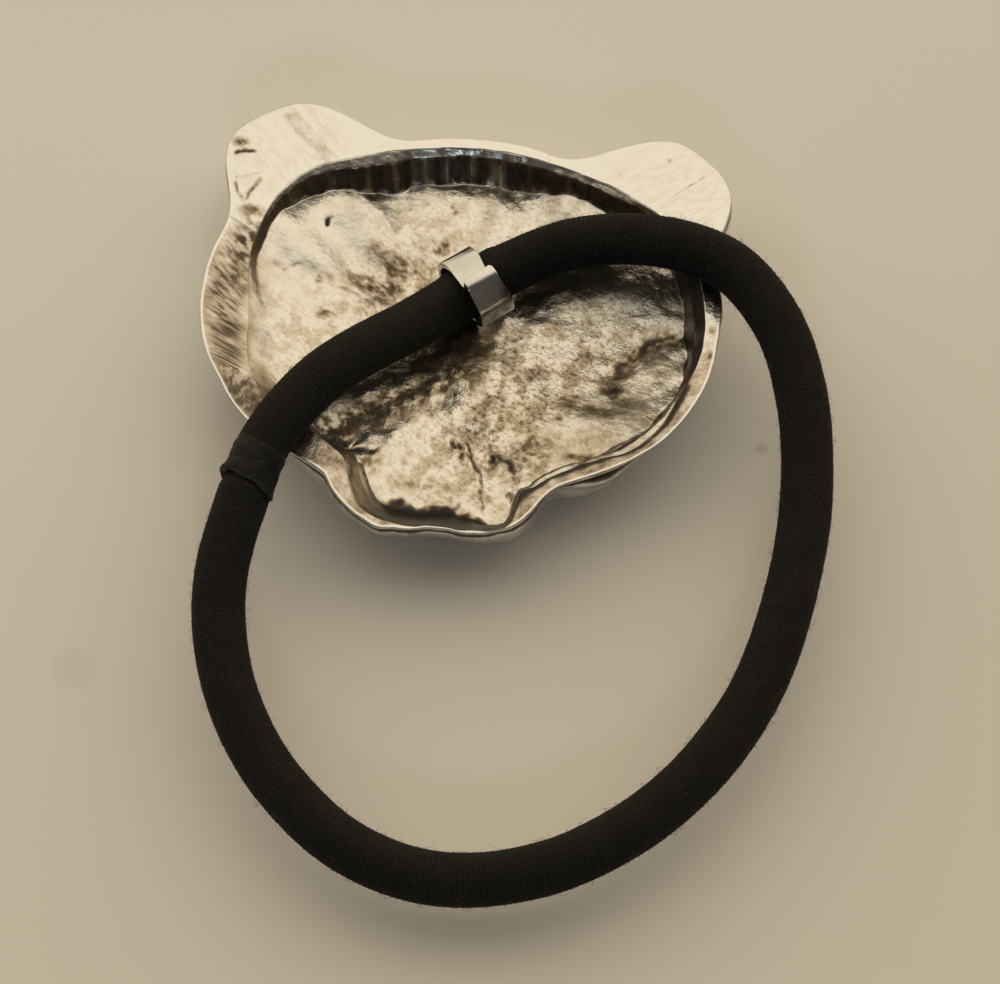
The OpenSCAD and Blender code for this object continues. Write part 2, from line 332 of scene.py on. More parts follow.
# direction, rise, spread, squareness, as in the part's source
EARS = [(134, 7.6, 16, 3), (46, 8, 16, 3)]
FACE = [
    (272, 3.5, 27, 4), (293, 0.6, 9, 2), (250, 0.45, 10, 6), (91, 4.1, 40, 3), (154, 2, 18, 2), (22, 1.9, 14, 2),
    (237, 0.8, 20, 3), (322, 0.28, 19, 4), (212, 0.4, 9, 3),
]
HOLLOW = [
    (272, 2.6, 27, 6), (91, 2.5, 76, 3), (231, -1.1, 15, 3), (16, 2.5, 37, 3), (148, 1.7, 24, 3), (197, 0.2, 11, 2),
    (335, 1.3, 15, 2),
]
# x, y, push of the front, dip of the floor, half widths
SWELLINGS = [
    (0, -10.5, 1.5, 0.7, 6.5, 4.5), (0, -6.5, 0.5, 0, 2.6, 2), (-11, -1.5, 1.4, 0.5, 5, 5), (11, -1, 1.5, 0.5, 6, 5),
    (-9.5, 7.5, 1.1, 0.4, 5, 4), (9.5, 7.5, 1.1, 0.3, 5, 4), (0, 13, 0.5, 0, 7, 3), (-15.5, 16, -0.5, 0, 2.6, 2.6),
    (15.5, 15.5, -0.5, 0, 2.6, 2.6),
]
# Finer outlines, in the same columns: what the rim's outer and inner edges add, how far the outer wall and the chin are
# cut under, how far the rim leans into the hollow, how far the floor climbs evenly and then late towards it, what the
# wall adds to its run, how gently it climbs, and what it adds to its stain.
RIM_WAVES = [(262, 0.35, 6, 4), (281, 0.22, 5, 4)]
TRIM = [
    (126, 0.35, 19, 4), (80, 0.1, 32, 4), (163, -0.35, 13, 4), (178, -0.25, 9, 2), (268, 0.42, 24, 4),
    (288, 0.35, 5, 4), (296, -1.2, 4, 2), (312, -0.4, 15, 4), (345, -0.25, 13, 4),
]
UNDERCUT = [(345, 1.2, 21, 4), (210, 1.2, 20, 4), (306, 0.7, 7, 2)]
CHIN_CUT = [(268, 1.0, 25, 4)]
RIM_LEAN = [(183, 0.9, 30, 6), (322, 0.3, 34, 4), (240, 0.3, 12, 2)]
FLOOR_RISE = [(182, 3.5, 36, 6), (322, 1.3, 30, 3), (238, 1.2, 18, 4)]
CROWN_RISE = [(100, 1.0, 25, 4), (137, 2.3, 16, 4)]
# In the right lobe the floor also climbs towards the crown: by RIGHT_CURVE times the square of the way past
# RIGHT_START, and straight on past RIGHT_STRAIGHT.
RIGHT_CURVE, RIGHT_START, RIGHT_STRAIGHT = 0.028, 1, 5
RUN_ALL, RIM_STEP = 0.8, 0.1
RUN = [
    (270, 3.4, 20, 4), (244, 1.4, 9, 2), (196, 1.2, 24, 4), (152, -0.32, 14, 4), (120, 0.6, 9, 4), (318, 1.4, 24, 4),
    (338, 0.8, 12, 4), (8, 0.5, 16, 4),
]
GENTLE_SHARE = [(268, 0.95, 24, 4), (187, 1, 37, 6), (8, 0.3, 15, 4)]
WALL_STAIN = [
    (268, 0.25, 25, 6), (8, 0.35, 24, 6), (186, -0.75, 29, 6), (234, 0.1, 10, 4), (247, -0.6, 8, 4),
    (320, -0.75, 27, 6),
]


def turn_gap(a, b):
    """Degrees from b to a, between -180 and 180."""
    return (a - b + 540) % 360 - 180


def near_turn(a, at, spread, square=2):
    return hump(turn_gap(a, at), 0, spread, square)


def lobes(table, a):
    """What a table of lobes adds up to in the directions a, in degrees."""
    return sum(rise * near_turn(a, at, spread, square) for at, rise, spread, square in table)


def oval(rx, ry, a):
    """An ellipse's radius in the directions a."""
    return 1 / np.sqrt((np.cos(np.radians(a)) / rx) ** 2 + (np.sin(np.radians(a)) / ry) ** 2)


def face_r(a):
    return oval(HEAD_RX, HEAD_RY, a) + lobes(FACE, a)


def edge_r(a):
    return face_r(a) + lobes(EARS, a)


def hollow_r(a):
    return oval(HOLLOW_RX, HOLLOW_RY, a) + lobes(HOLLOW, a)


def dome_r(a):
    return np.maximum(face_r(a), np.minimum(edge_r(a), hollow_r(a) + SHELL_T))


def swell(x, y, column):
    """Column 2 of SWELLINGS gives the push of the front, and column 3 the dip of the floor."""
    return sum(s[column] * np.exp(-(((x - s[0]) / s[4]) ** 2) - ((y - s[1]) / s[5]) ** 2) for s in SWELLINGS)


TURNS = 600
angles = np.arange(TURNS) * 360 / TURNS
cosines, sines = np.cos(np.radians(angles)), np.sin(np.radians(angles))
ring_q = np.stack([18 * cosines, 18 * sines, 0 * sines], -1)
edge_wave = 0.035 * noise(ring_q, 3.1, 34) + 0.02 * noise(ring_q, 1.1, 35)
R_EDGE = edge_r(angles) + lobes(RIM_WAVES, angles) + edge_wave
R_DOME = dome_r(angles) + edge_wave
LEAST_RIM = 0.22
R_HOLLOW = np.minimum(hollow_r(angles) + lobes(TRIM, angles) + 0.05 * noise(ring_q, 1.4, 36), R_EDGE - LEAST_RIM)
LEAN = lobes(RIM_LEAN, angles)
GENTLY = np.clip(lobes(GENTLE_SHARE, angles), 0, 1)
UNEVEN = (1 - 0.75 * GENTLY) * (0.2 * noise(ring_q, 1.9, 37) + 0.08 * noise(ring_q, 0.8, 38))
WALL_RUN = RUN_ALL + lobes(RUN, angles) + UNEVEN

# Relief that the hollow's floor takes: lines of corners, height, half width, stain. The row under the elastic adds no
# relief, only painted shadow and reflection of the elastic.
LINES = [
    ([(1.0, 3.5), (1.6, 1.2), (2.2, -3.2), (2.6, -6.8)], 0.22, 1.8, 0.2),         # ridge down the middle
    ([(16.9, -1.4), (16.5, -2.8), (15.6, -4.3), (15.0, -6.1), (14.0, -7.8), (13.0, -8.8)], -0.1, 0.15, 0.85),
    ([(17.1, 3.2), (15.0, 2.7), (13.6, 1.9), (12.4, 0.2), (11.9, -1.9)], -0.12, 0.8, 0.6),  # fold at the right
    ([(8.9, -3.6), (10.5, -3.9), (12.2, -3.9)], -0.05, 0.6, 0.35),
    ([(3.0, -10.2), (3.2, -11.9), (3.5, -13.6)], -0.08, 0.14, 0.4),               # crack in the muzzle
    ([(0.4, -7.4), (1.0, -8.0), (1.5, -9.1)], -0.12, 0.32, 0.65),                # hooks in the muzzle
    ([(1.7, -7.9), (2.0, -9.1), (2.9, -10.2)], -0.1, 0.2, 0.55),
    ([(3.4, -9.3), (4.0, -8.7), (5.0, -9.6), (5.5, -10.6)], -0.12, 0.22, 0.6),
    ([(5.0, -12.0), (5.7, -12.5)], -0.14, 0.25, 0.7),
    ([(-10.6, -8.8), (-8.5, -9.4), (-6.8, -9.7)], -0.12, 0.22, 0.7),             # creases at the lower left
    ([(-9.9, -10.2), (-8.0, -9.8), (-6.1, -10.0), (-4.8, -9.7)], -0.12, 0.24, 0.85),
    ([(-8.6, -12.4), (-7.8, -11.7), (-6.4, -11.6)], -0.1, 0.22, 0.8),
    # painted shadow and reflection of the elastic on the floor:
    ([(-8.8, -8.6), (-5.6, -6.2), (-2.2, -3.4), (0.4, -1.2)], 0, 1.3, 0.6),       # dark under the elastic
    ([(-14.9, 4.6), (-13.8, 4.2), (-12.6, 5.0)], -0.05, 0.2, 0.2),
    ([(-10.1, 3.9), (-8.4, 3.7), (-7.0, 3.0)], -0.05, 0.25, 0.3),
]
# x, y, half widths, height, stain
SPOTS = [
    (-11.3, 9.3, 0.17, 0.24, -0.2, 0.85),    # pit
    (-7.0, 7.9, 1.5, 0.9, 0.05, 0.4),
    (-5.6, 6.6, 1.8, 1.4, -0.05, 0.5),
    (-7.0, 5.0, 2.6, 1.0, -0.06, 0.6),
    (-11.0, 4.3, 1.1, 0.6, -0.05, 0.45),
    (-10.4, 1.3, 1.0, 0.8, -0.05, 0.45),
    (-2.6, 9.0, 1.2, 0.8, -0.05, 0.5),
    (-1.9, 12.4, 0.6, 0.6, -0.05, 0.4),
    (2.6, 13.5, 0.9, 0.7, -0.03, 0.3),
    (0.9, 1.0, 1.8, 1.2, 0, 0.5),
    (1.8, -1.6, 1.6, 2.6, 0, 0.35),
    (2.6, -5.9, 0.9, 1.5, 0, 0.35),
    (3.2, -8.8, 2.6, 1.8, 0, 0.3),
    (14.2, 0.4, 2.2, 1.8, 0, 0.3),
    (13.0, -3.0, 2.0, 1.4, 0, 0.25),
    (10.4, -8.6, 1.2, 0.35, -0.05, 0.5),
    (4.4, -12.9, 0.8, 0.7, 0.06, 0.3),
    (-8.6, -9.2, 2.6, 1.2, 0, 0.55),
    (-1.5, -11.8, 3.0, 0.9, 0, 0.35),
    (-5.8, -10.6, 2.2, 1.6, 0, 0.4),
    (6.5, -8.5, 2.0, 2.2, 0, 0.35),
    (-4.0, 5.0, 3.0, 1.6, 0, 0.25),
]
# The same for the flat back of rim and ears.
RIM_LINES = [
    ([(-19.0, 12.8), (-18.2, 13.15), (-17.3, 13.2)], -0.14, 0.16, 0.75),   # slot in the left ear
    ([(-16.6, 10.9), (-17.6, 8.6)], -0.08, 0.18, 0.4),
    ([(-18.6, 10.3), (-18.2, 9.3), (-17.6, 8.6)], -0.08, 0.15, 0.4),
    ([(-18.7, 10.5), (-17.5, 11.0), (-16.5, 11.3)], -0.04, 0.12, 0.2),
    ([(14.3, 12.4), (17.4, 15.6)], -0.03, 0.08, 0.3),
    ([(14.6, 15.8), (16.2, 16.5)], -0.02, 0.07, 0.2),
]
RIM_SPOTS = [
    (-18.7, 13.9, 0.7, 0.5, -0.04, 0.5),
    (-17.0, 7.9, 0.9, 0.5, -0.03, 0.4),
    (14.2, 16.2, 0.3, 0.3, -0.02, 0.3),
    (13.6, 14.6, 0.5, 0.4, -0.02, 0.2),
    (10.7, 14.7, 0.9, 0.7, 0, 0.15),
    (18.5, 3.9, 0.5, 1.1, 0.12, 0),  # bright patch
    (19.0, 1.4, 0.3, 0.35, -0.04, 0.32),
    (19.1, -0.8, 0.2, 0.25, -0.04, 0.36),
]


def polar(r):
    return MID[0] + r * cosines, MID[1] + r * sines


SEAT_R = 2.8


def seat_share(x, y):
    return hump(np.hypot(x - clip_mid[0], y - clip_mid[1]), 0, SEAT_R, 4)


def floor_height(x, y, share):
    """The hollow's floor at a share of the way out: it dips under cheeks and brows and climbs towards the rim."""
    even_climb = lobes(FLOOR_RISE, angles) * max(0, (share - 0.15) / 0.85) ** 1.2
    late_climb = lobes(CROWN_RISE, angles) * smooth(0.35, 1, share)
    north = np.maximum(0, y - RIGHT_START)
    curved = np.minimum(north, RIGHT_STRAIGHT)
    right_climb = RIGHT_CURVE * (2 * curved * north - curved**2) * smooth(2, 8, x)
    return FLOOR_Z - 0.6 * swell(x, y, 3) + even_climb + late_climb + right_climb


CLIP_T, CLIP_ROOM, SEAT_ROOM = 0.45, 0.15, 0.06  # the strip, room in it for the elastic, room under it
SEAT_Z = clip_mid[2] - (CORD_R + CLIP_ROOM) - CLIP_T - SEAT_ROOM
HOLLOW_STEPS = np.concatenate([np.linspace(0.015, 0.80, 50), np.linspace(0.81, 1.0, 42)])
# How the hollow's wall climbs over its run: places and heights from 0 to 1, and the same where it has a ledge.
PROFILE_U = (0, 0.08, 0.2, 0.32, 0.44, 1.0)
STEEP = (0, 0.04, 0.25, 0.62, 0.88, 1.0)
LEDGE = (0, 0.12, 0.5, 0.62, 0.85, 1), (0, 0.1, 0.62, 0.7, 0.76, 1)
ON_LEDGE = near_turn(angles, 322, 28, 6)
RIM_RINGS, FRONT_RINGS = 36, 26
rings, zones, wall_share, rim_share = [], [], [], []  # zone: 0 hollow, 1 rim, 2 outer wall, 3 front


def add_ring(x, y, z, zone, up_wall=0, over_rim=0):
    rings.append((x, y, z + 0 * x))
    zones.append(zone)
    wall_share.append(up_wall + 0 * x)
    rim_share.append(over_rim + 0 * x)


for s in HOLLOW_STEPS:
    r = s * R_HOLLOW
    x, y = polar(r)
    u = np.clip(1 - (R_HOLLOW - r) / WALL_RUN, 0, 1)
    climb = u**2 * (2 - u) * GENTLY + np.interp(u, PROFILE_U, STEEP) * (1 - GENTLY)
    climb = np.interp(u, *LEDGE) * ON_LEDGE + climb * (1 - ON_LEDGE)
    floor = floor_height(x, y, s)
    z = floor + (RIM_Z - LEAN - RIM_STEP * (1 - GENTLY) - floor) * climb
    share = seat_share(x, y)
    add_ring(x, y, z * (1 - share) + SEAT_Z * share, 0, up_wall=u)
for s in np.linspace(0, 1, RIM_RINGS):
    inner, outer_edge = R_HOLLOW + 0.05, R_EDGE - 0.1
    x, y = polar(inner + s * (outer_edge - inner))
    add_ring(x, y, RIM_Z - LEAN * (1 - s) ** 1.4, 1, up_wall=1, over_rim=s)
# The front's rings, from the outer edge to the middle: shares of the dome's radius, and of the ears' reach past it.
FRONT_F = (1, 0.99, 0.98, 0.97, 0.955, 0.93, 0.89, 0.84, 0.77, 0.69, 0.6, 0.5, 0.4, 0.3, 0.2, 0.1, 0.01)
FRONT_E = (1, 0.75, 0.5, 0.25, 0.04, 0, 0, 0, 0, 0, 0, 0, 0, 0, 0, 0, 0)
CUT_UNDER = np.clip(lobes(UNDERCUT, angles), 0, 1.2)
CUT_CHIN = lobes(CHIN_CUT, angles)
CHIN_SHARE = (0.75, 0.84, 0.93, 0.97, 0.985, 1.0), (0, 0.3, 0.85, 1.0, 0.7, 0.35)  # of the chin's cut, by f
DOME_SQUARE = 2.6


def dome(f):
    full = 1 - (1 - np.minimum(f, 1) ** DOME_SQUARE) ** (1 / DOME_SQUARE)
    return (RIM_Z - BAND_H) * full + DOME_LIFT * (1 - f * f)


def front(f, e):
    reach = R_EDGE - R_DOME
    r = f * R_DOME + e * reach
    x, y = polar(r)
    share = np.minimum(1, reach / 2) if e > 0 else 0
    z = np.maximum(0, dome(f) * (1 - share) + (RIM_Z - EAR_T) * share - swell(x, y, 2))
    x, y = polar(r - CUT_UNDER * smooth(0.75, 1, f) - CUT_CHIN * np.interp(f, *CHIN_SHARE))
    return x, y, z


# The outer wall, with a groove under the rim and a slight bulge below it.
z_low = front(1, 1)[2]
GROOVE_AT, GROOVE_HALF, GROOVE_DEPTH = 0.3, 0.07, 0.12
WALL_STEPS = (0.02, 0.1, 0.2, 0.27, 0.33, 0.4, 0.5, 0.62, 0.74, 0.86, 0.96)
for s in WALL_STEPS:
    off_crown = 0.45 + 0.55 * smooth(20, 75, np.abs(turn_gap(angles, 90)))
    groove = GROOVE_DEPTH * hump(s, GROOVE_AT, GROOVE_HALF) * off_crown
    bulge = 0.06 * np.sin(np.pi * np.clip((s - 0.3) / 0.7, 0, 1))
    cheek = 0.35 * np.sin(np.pi * np.clip((s - 0.35) / 0.65, 0, 1)) * near_turn(angles, 320, 7)
    x, y = polar(R_EDGE - groove + bulge + cheek - (CUT_UNDER + 0.35 * CUT_CHIN) * s)
    add_ring(x, y, RIM_Z - 0.05 + s * (z_low - RIM_Z + 0.05), 2, over_rim=s)
for s in np.linspace(0, len(FRONT_F) - 1, FRONT_RINGS):
    i = min(int(s), len(FRONT_F) - 2)
    f = FRONT_F[i] + (s - i) * (FRONT_F[i + 1] - FRONT_F[i])
    e = FRONT_E[i] + (s - i) * (FRONT_E[i + 1] - FRONT_E[i])
    add_ring(*front(f, e), 3)
zones = np.array(zones)
U = np.array(wall_share)
RIM = np.array(rim_share)
P = np.array(rings).transpose(0, 2, 1)  # ring, turn, xyz
EDGE_PASSES = 2
for _ in range(EDGE_PASSES):  # rounds the rim's edges
    Q = P.copy()
    Q[1:-1] = 0.25 * P[:-2] + 0.5 * P[1:-1] + 0.25 * P[2:]
    P[zones >= 1] = Q[zones >= 1]


def normals_of(P):
    around = np.roll(P, -1, axis=1) - np.roll(P, 1, axis=1)
    inward = np.gradient(P, axis=0)
    n = np.cross(inward, around)
    return n / (np.linalg.norm(n, axis=2)[..., None] + 1e-12)


X, Y = P[..., 0], P[..., 1]
A = np.broadcast_to(angles, X.shape)
in_hollow = (zones == 0)[:, None] * np.ones(TURNS)
on_rim = (zones == 1)[:, None] * np.ones(TURNS)
outside = (zones >= 2)[:, None] * np.ones(TURNS)
flat_p = np.stack([X, Y, 0 * X], -1)
smooth_left = blob(X, Y, -12.2, 7.0, 5.5, 5.5, 4)
left_ear = blob(X, Y, -15.5, 13.5, 5.0, 5.0, 6)
right_ear = blob(X, Y, 15.0, 13.0, 5.5, 5.5, 6)
left_band = on_rim * near_turn(A, 184, 33, 6)

# Coordinates across and along the marks of the metal, in millimetres. On the left band the marks turn with the height.
GRAIN = np.radians(-31)
EAR_GRAIN = np.radians(-46)
RIGHT_GRAIN = np.radians(38)
band_angle = np.radians(np.clip(34 + 3.6 * Y, 12, 62))


def grain_of(angle):
    return np.stack([-X * np.sin(angle) + Y * np.cos(angle), X * np.cos(angle) + Y * np.sin(angle), 0 * X], -1)


band_share = near_turn(A, 186, 29, 8)
grain = grain_of(GRAIN)
band_grain = np.stack([0.75 * (X + 15.9 * np.log(np.sin(band_angle))), Y, 0 * X], -1)
grain = np.where((on_rim * (A > 156))[..., None] > 0, band_grain, grain)
grain = np.where((on_rim * (A <= 156))[..., None] > 0, grain_of(EAR_GRAIN), grain)
grain = np.where((on_rim * (X > 5))[..., None] > 0, grain_of(RIGHT_GRAIN), grain)
band_strokes = band_share * smooth(0.05, 0.35, 1 - RIM) * smooth(0.95, 0.6, 1 - RIM)
filed = on_rim * (0.8 * band_strokes + 0.12 * left_ear * smooth(154, 146, A) + 0.12 * right_ear)

# ---- relief
away = 1 - seat_share(X, Y)
lower_right_floor = in_hollow * blob(X, Y, 12.0, -7.5, 5.5, 4.5, 3)
right_lobe = blob(X, Y, 10.0, -0.5, 7.5, 4.5, 3)
relief = in_hollow * away * (
    0.12 * layers(flat_p, 4.2, 41, 2) * (1 - 0.5 * lower_right_floor)
    + 0.05
    * layers(flat_p, 1.7, 42, 2)
    * (1 - 0.7 * smooth_left)
    * (1 - 0.6 * lower_right_floor)
    * (1 - 0.5 * right_lobe)
    + 0.014 * layers(grain * (1, 0.7, 1), 0.6, 43, 2) * (1 - 0.85 * smooth_left) * (1 - 0.4 * right_lobe)
)
# Darkening of the metal from 0 to 1: tarnish, and painted shade where noted.
stain_and_shade = np.zeros_like(X)
wobble_x, wobble_y = 0.22 * noise(flat_p, 0.9, 51), 0.22 * noise(flat_p, 0.9, 52)
broken = 0.35 + 0.75 * smooth(-0.6, 0.6, layers(flat_p, 0.8, 53, 3, 0.7))
for line, height, half, dark in LINES:
    d, share = line_gap(X + wobble_x, Y + wobble_y, line)
    ends = smooth(0, 0.1, share) * smooth(1, 0.9, share)
    relief += in_hollow * height * hump(d, 0, half) * ends * away
    stain_and_shade = np.maximum(stain_and_shade, in_hollow * dark * hump(d, 0, 1.15 * half) * broken)
for cx, cy, wx, wy, height, dark in SPOTS:
    soft = blob(X + wobble_x, Y + wobble_y, cx, cy, wx, wy)
    relief += in_hollow * height * soft * away
    stain_and_shade = np.maximum(stain_and_shade, in_hollow * dark * soft * (broken if wx > 0.5 else 1))
relief += on_rim * (0.02 * layers(flat_p, 3, 61, 3) + 0.006 * noise(flat_p, 0.5, 62))
for line, height, half, dark in RIM_LINES:
    d, share = line_gap(X + 0.06 * noise(flat_p, 0.7, 63), Y + 0.06 * noise(flat_p, 0.7, 64), line)
    soft = hump(d, 0, half) * smooth(0, 0.15, share + 0.05) * smooth(1.05, 0.85, share)
    relief += on_rim * height * soft
    stain_and_shade = np.maximum(stain_and_shade, on_rim * dark * soft)
for cx, cy, wx, wy, height, dark in RIM_SPOTS:
    soft = blob(X, Y, cx, cy, wx, wy)
    relief += on_rim * height * soft
    stain_and_shade = np.maximum(stain_and_shade, on_rim * dark * soft)
# The left ear was filed in a few flats that cross it aslant.
across_ear = 0.719 * X + 0.695 * Y
flats = np.interp(across_ear, (-7, -3, 0.1, 1.35, 1.7, 2.1, 6), (0, -0.06, 0, -0.1, -0.03, -0.1, -0.03))
tones = np.interp(across_ear, (-7, -3, -0.1, 0.3, 1.3, 1.7, 2.1, 6), (0.15, 0.06, 0.03, 0.27, 0.27, 0, 0.25, 0.12))
relief += on_rim * left_ear * flats
stain_and_shade += on_rim * left_ear * tones * (0.8 + 0.4 * noise(flat_p, 1.2, 65))
relief += outside * (0.02 * layers(P, 1.6, 71, 3))

N = normals_of(P)
P = P + N * relief[..., None]
P[..., 2] = np.clip(P[..., 2], 0, RIM_Z + 0.05)

# ---- darkening: tarnish in the hollow's wall and in hollows of the relief, darker on the left band, painted shade in the groove under the rim
crown_streaks = near_turn(A, 92, 60, 6) * smooth(-0.1, 0.6, noise(ring_q, 0.7, 87))
hold = np.clip(0.75 + lobes(WALL_STAIN, A), 0, 1.1) * (1 - 0.5 * crown_streaks)
gentle = np.broadcast_to(GENTLY, X.shape)
bevel = near_turn(A, 98, 56, 6) * smooth(0.42, 0.58, U + 0.16 * noise(flat_p, 0.7, 80))
lined = near_turn(A, 343, 12, 4)  # light strip between two dark lines at the lower right
from_mid = np.hypot(X - MID[0], Y - MID[1])
ragged_u = 1 - (R_HOLLOW - from_mid) / WALL_RUN + 0.16 * noise(flat_p, 0.7, 81) + 0.16 * noise(flat_p, 1.9, 83)
on_wall = smooth(0.02 - 0.25 * gentle, 0.12 + 0.05 * gentle, ragged_u) * (1 - 0.85 * bevel) * (1 - lined)
stain_and_shade = np.maximum(stain_and_shade, in_hollow * hold * on_wall * (0.88 + 0.18 * noise(P, 0.8, 82)))
lower_right = near_turn(A, 322, 31, 8)
rim_line = on_rim * hump(RIM, 0, 0.22 + 0.1 * noise(ring_q, 1.1, 85)) + in_hollow * smooth(0.9, 1, U)
stain_and_shade = np.maximum(stain_and_shade, 0.95 * lower_right * rim_line * smooth(-0.7, 0, noise(flat_p, 1.3, 86) + 0.3))
in_strokes = smooth(0.2, -0.3, noise(grain * (1, 0.7, 1), 0.5, 88))
inner_strokes = near_turn(A, 158, 9) * smooth(0.75, 0.2, RIM) * in_strokes
past_edge = smooth(0.15, 0.36, R_EDGE - from_mid)  # the rim's outer edge stays bright
into_floor = smooth(6.2, 2.6, R_EDGE - from_mid + 0.6 * noise(flat_p, 1.3, 89))
left_zone = (on_rim + in_hollow) * near_turn(A, 186, 31, 6)
left_tone = 0.36 + 0.05 * smooth(190, 205, A) + 0.14 * noise(flat_p, 1.8, 90)
stain_and_shade += left_zone * past_edge * into_floor * left_tone + 0.5 * left_band * inner_strokes
around_jaw = on_rim * near_turn(A, 289, 79, 8)
stain_and_shade += around_jaw * past_edge * (0.37 + 0.16 * noise(flat_p, 1.4, 91))
stain_and_shade += 0.24 * lower_right_floor * (0.8 + 0.4 * noise(flat_p, 1.6, 92))
BLUR_PASSES = 8
blurred = relief.copy()
for _ in range(BLUR_PASSES):
    blurred = (np.roll(blurred, 1, 1) + np.roll(blurred, -1, 1) + 2 * blurred) / 4
    blurred[1:-1] = (blurred[:-2] + blurred[2:] + 2 * blurred[1:-1]) / 4
stain_and_shade += in_hollow * 0.14 * np.clip((blurred - relief) / 0.05, 0, 1)
# The groove under the rim is painted dark, as painted shade.
in_groove = (zones == 2)[:, None] * hump(RIM, GROOVE_AT, 0.1)
stain_and_shade += outside * 0.3 * smooth(-0.9, 1.1, layers(P, 1.6, 84, 4, 0.7)) + 0.8 * in_groove
stain_and_shade = np.clip(stain_and_shade, 0, 1)

speckled = in_hollow * np.clip(
    0.42
    + 0.5 * blob(X, Y, 4, -3.5, 8, 5)
    + 0.5 * blob(X, Y, -6, 5, 5, 3.5)
    + 0.3 * blob(X, Y, 9, 1, 7, 4)
    + 0.4 * blob(X, Y, 3.5, -9.5, 4, 3.5)
    - 0.35 * smooth_left,
    0.05,
    1,
)

cap = len(P) * TURNS
points = np.concatenate([P.reshape(-1, 3), [P[0].mean(0)], [P[-1].mean(0)]])
faces = ring_faces(len(P), TURNS, False).tolist()
faces += [[cap, (k + 1) % TURNS, k] for k in range(TURNS)]
base = (len(P) - 1) * TURNS
faces += [[cap + 1, base + k, base + (k + 1) % TURNS] for k in range(TURNS)]
charm = new_mesh(
    "cast_charm",
    points,
    faces,
    values={
        "stain_and_shade": np.append(stain_and_shade.ravel(), [stain_and_shade[0].mean(), stain_and_shade[-1].mean()]),
        "hollow": np.append(in_hollow.ravel(), [1, 0]),
        "speckled": np.append(speckled.ravel(), [speckled[0].mean(), 0]),
        "filed": np.append(filed.ravel(), [0, 0]),
        "grain": np.concatenate([grain.reshape(-1, 3), [grain[0].mean(0)], [grain[-1].mean(0)]]),
    },
)
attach(charm, "root")
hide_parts("cast_head")

# ---------------------------------------------------------------- clip

# The strip's outer face as bends round the elastic, from the end under the lap to the free end on top:
# towards the viewer, up, drift along the elastic, turn of the strip in degrees, width, all from the elastic's centre.
BENDS = [
    (1.15, 2.35, -0.95, 9, 2.25), (-1.4, 1.75, -0.45, 9, 2.65), (-2.2, 1.25, -0.45, 9, 2.7), (-2.6, 0.3, -0.4, 3, 2.8),
    (-2.5, -1.3, -0.2, 0, 2.8), (-1.2, -2.55, 0, 0, 2.6), (1.0, -2.55, 0.1, 0, 2.5), (2.45, -0.6, -0.15, 0, 3.0),
    (2.5, 1.0, -0.35, 0, 2.95), (1.3, 2.86, -0.7, -3, 2.7), (0.68, 3.0, -0.7, -5, 2.65),
]
EDGE_ROUND = 0.1
RIGHT_CORNER, LEFT_CORNER = 0.35, 0.2
far_side = np.cross((0, 0, 1), clip_dir)
corners = np.array(BENDS, float)
leg = np.linalg.norm(np.diff(corners[:, :2], axis=0), axis=1)
leg_at = np.concatenate([[0], np.cumsum(leg)])
STEP = 0.05
SOFT_BEND = 0.14
RUN_PAST = 0.6
walk = np.arange(-RUN_PAST, leg_at[-1] + RUN_PAST, STEP)
raw = np.stack([np.interp(walk, leg_at, column) for column in corners.T], 1)
for end, i, j in ((walk < 0, 0, 1), (walk > leg_at[-1], -1, -2)):  # runs straight on past both ends, for the softening
    slope = (corners[i] - corners[j]) / leg[0 if i == 0 else -1]
    raw[end] = corners[i] + np.abs(walk[end] - (0 if i == 0 else leg_at[-1]))[:, None] * slope
KERNEL_REACH = 10
kernel = np.exp(-0.5 * (np.arange(-KERNEL_REACH, KERNEL_REACH + 1) * STEP / SOFT_BEND) ** 2)
kernel /= kernel.sum()
soft = np.stack([np.convolve(column, kernel, "same") for column in raw.T], 1)
inside = (walk >= 0) & (walk <= leg_at[-1])
walk, soft = walk[inside], soft[inside]


def corner_cut(radius, to_end):
    """How much of the strip's half width a rounded corner takes away near the free end."""
    return radius - np.sqrt(max(0.0, radius**2 - max(0.0, radius - to_end) ** 2))


clip_rings = []
for n, (near, up, shift, turn, width) in enumerate(soft):
    before, after = soft[max(n - 1, 0)], soft[min(n + 1, len(soft) - 1)]
    run_near, run_up = (after - before)[:2] / np.linalg.norm((after - before)[:2])
    tangent = -far_side * run_near + np.array([0, 0, 1]) * run_up
    out = np.cross(tangent, clip_dir)
    across = clip_dir * np.cos(np.radians(turn)) - tangent * np.sin(np.radians(turn))
    low = -width / 2 + corner_cut(LEFT_CORNER, leg_at[-1] - walk[n])
    high = width / 2 - corner_cut(RIGHT_CORNER, leg_at[-1] - walk[n])
    b = EDGE_ROUND
    spot = clip_mid - far_side * near + np.array([0, 0, 1]) * up + clip_dir * shift
    for cx, cy, a0 in ((high - b, -b, 0), (low + b, -b, 90), (low + b, b - CLIP_T, 180), (high - b, b - CLIP_T, 270)):
        for a in np.radians(a0 + np.array((0, 30, 60, 90))):
            clip_rings.append(spot + across * (cx + b * np.cos(a)) + out * (cy + b * np.sin(a)))
clip_rings = np.reshape(clip_rings, (len(soft), 16, 3))
rows, sides = clip_rings.shape[:2]
clip_points = np.concatenate([clip_rings.reshape(-1, 3), [clip_rings[0].mean(0)], [clip_rings[-1].mean(0)]])
clip_faces = ring_faces(rows, sides, False).tolist()
clip_faces += [[rows * sides, (k + 1) % sides, k] for k in range(sides)]
clip_faces += [[rows * sides + 1, (rows - 1) * sides + k, (rows - 1) * sides + (k + 1) % sides] for k in range(sides)]
clip = new_mesh("bent_clip", clip_points, clip_faces)
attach(clip, "root")
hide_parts("band_clip")

# ---------------------------------------------------------------- materials


